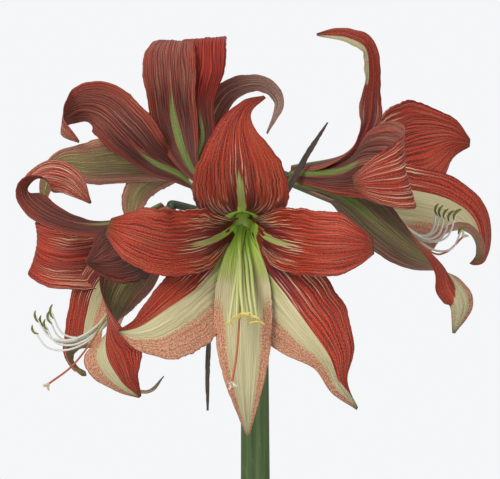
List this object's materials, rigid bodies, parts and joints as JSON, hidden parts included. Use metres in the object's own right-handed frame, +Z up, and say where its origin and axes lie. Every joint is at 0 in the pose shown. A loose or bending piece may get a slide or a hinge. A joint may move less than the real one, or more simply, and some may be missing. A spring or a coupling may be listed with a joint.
{
  "type": "potted amaryllis plant",
  "caption": "Potted amaryllis in bloom: an open umbel of red and pale green flowers with long recurved tepals on a tall stalk, with strap leaves, a bulb and a plain clay pot.",
  "frame": {"origin": "centre of the pot's underside", "axes": "+Z up along the stalk, -Y towards the viewer whom the front flower faces, +X to the viewer's right"},
  "size_m": [0.3333, 0.3074, 0.6796],
  "materials": {
    "clay": "matte",
    "soil": "matte",
    "bulb": "satin",
    "leaf": "satin",
    "scape": "satin",
    "bract": "matte",
    "pedicel": "satin",
    "red": "satin",
    "pale": "satin",
    "dusky": "satin",
    "stamen": "satin",
    "style": "satin"
  },
  "bodies": {
    "root": {"pot": "clay", "soil": "soil", "bulb": "bulb", "leaf_right": "leaf", "leaf_left": "leaf", "leaf_back": "leaf", "leaf_front": "leaf", "scape": "scape", "front_pedicel": "pedicel", "back_pedicel": "pedicel", "left_pedicel": "pedicel", "right_pedicel": "pedicel", "bract_upright": "bract", "bract_hanging": "bract", "front_tepal_bottom": "pale", "front_tepal_left": "red", "front_tepal_right": "red", "front_tepal_top": "red", "front_tepal_lower_left": "pale", "front_tepal_lower_right": "pale", "back_tepal_upright": "dusky", "back_tepal_top": "red", "back_tepal_left": "dusky", "back_tepal_right": "dusky", "back_tepal_lower": "dusky", "back_tepal_hanging": "dusky", "left_tepal_near": "dusky", "left_tepal_top": "dusky", "left_tepal_low_near": "pale", "left_tepal_far": "red", "left_tepal_low_far": "pale", "left_tepal_low_back": "pale", "right_tepal_near": "dusky", "right_tepal_low_near": "dusky", "right_tepal_far": "red", "right_tepal_top": "red", "right_tepal_low_far": "pale", "right_tepal_low_back": "pale", "front_pistil": "style", "front_stamens": "stamen", "back_pistil": "style", "back_stamens": "stamen", "left_pistil": "style", "left_stamens": "stamen", "right_pistil": "style", "right_stamens": "stamen"}
  },
  "joints": []
}
